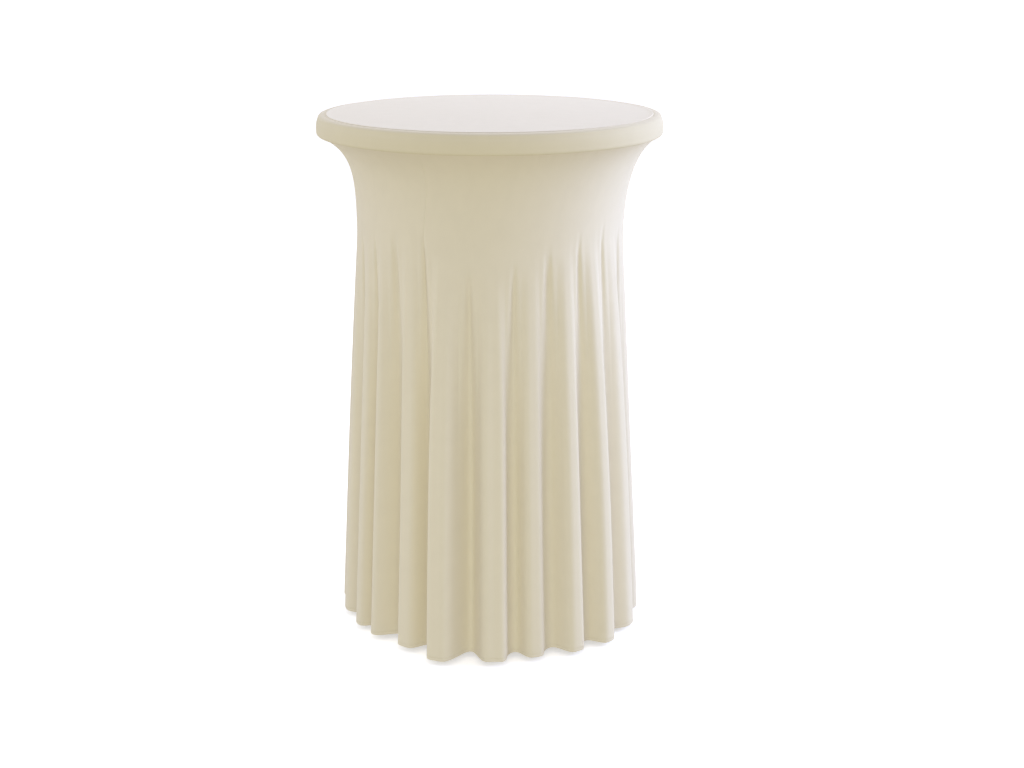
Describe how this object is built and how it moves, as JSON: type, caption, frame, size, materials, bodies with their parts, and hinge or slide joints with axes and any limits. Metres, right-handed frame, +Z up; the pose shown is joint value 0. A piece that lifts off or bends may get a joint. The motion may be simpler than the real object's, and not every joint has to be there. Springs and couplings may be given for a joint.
{
  "type": "fitted table cover on a pedestal bar table",
  "caption": "Ivory stretch-knit cover with a wavy floor-length skirt, fitted over a tall round pedestal table with levelling feet.",
  "frame": {"origin": "on the floor, under the middle of the round top", "axes": "+Z up along the pedestal; the front, left of which the skirt's front seam lies, faces -Y; +X to the right"},
  "size_m": [0.7142, 0.7142, 1.0937],
  "materials": {
    "cover_cloth": "matte ivory polyester and elastane knit",
    "cover_elastic": "white woven elastic",
    "table_board": "laminated particle board",
    "edge_vinyl": "dark vinyl bumper",
    "cast_iron": "black powder coat over sand-cast iron",
    "painted_tube": "black painted steel tube",
    "zinc_steel": "bright zinc plate",
    "foot_nylon": "moulded black nylon"
  },
  "bodies": {
    "covered_table": {"cover_top_panel": "cover_cloth", "cover_rim_band": "cover_cloth", "skirt_panel_right": "cover_cloth", "skirt_panel_left": "cover_cloth", "cover_rim_elastic": "cover_elastic", "table_core": "table_board", "table_edge_bumper": "edge_vinyl", "top_spider": "cast_iron", "pedestal_base": "cast_iron", "column_tube": "painted_tube", "tie_rod": "zinc_steel", "tie_rod_nut_top": "zinc_steel", "tie_rod_washer_top": "zinc_steel", "tie_rod_nut_bottom": "zinc_steel", "tie_rod_washer_bottom": "zinc_steel", "spider_screw_inner_back_right": "zinc_steel", "spider_screw_inner_back_left": "zinc_steel", "spider_screw_inner_front_left": "zinc_steel", "spider_screw_inner_front_right": "zinc_steel", "spider_screw_outer_back_right": "zinc_steel", "spider_screw_outer_back_left": "zinc_steel", "spider_screw_outer_front_left": "zinc_steel", "spider_screw_outer_front_right": "zinc_steel"},
    "foot_back_right": {"foot_stud_back_right": "zinc_steel", "foot_pad_back_right": "foot_nylon"},
    "foot_back_left": {"foot_stud_back_left": "zinc_steel", "foot_pad_back_left": "foot_nylon"},
    "foot_front_left": {"foot_stud_front_left": "zinc_steel", "foot_pad_front_left": "foot_nylon"},
    "foot_front_right": {"foot_stud_front_right": "zinc_steel", "foot_pad_front_right": "foot_nylon"}
  },
  "joints": [
    {"name": "foot_back_right_screw", "type": "slide", "parent": "covered_table", "child": "foot_back_right", "axis": [0, 0, -1], "range_m": [0, 0.012]},
    {"name": "foot_back_left_screw", "type": "slide", "parent": "covered_table", "child": "foot_back_left", "axis": [0, 0, -1], "range_m": [0, 0.012]},
    {"name": "foot_front_left_screw", "type": "slide", "parent": "covered_table", "child": "foot_front_left", "axis": [0, 0, -1], "range_m": [0, 0.012]},
    {"name": "foot_front_right_screw", "type": "slide", "parent": "covered_table", "child": "foot_front_right", "axis": [0, 0, -1], "range_m": [0, 0.012]}
  ]
}
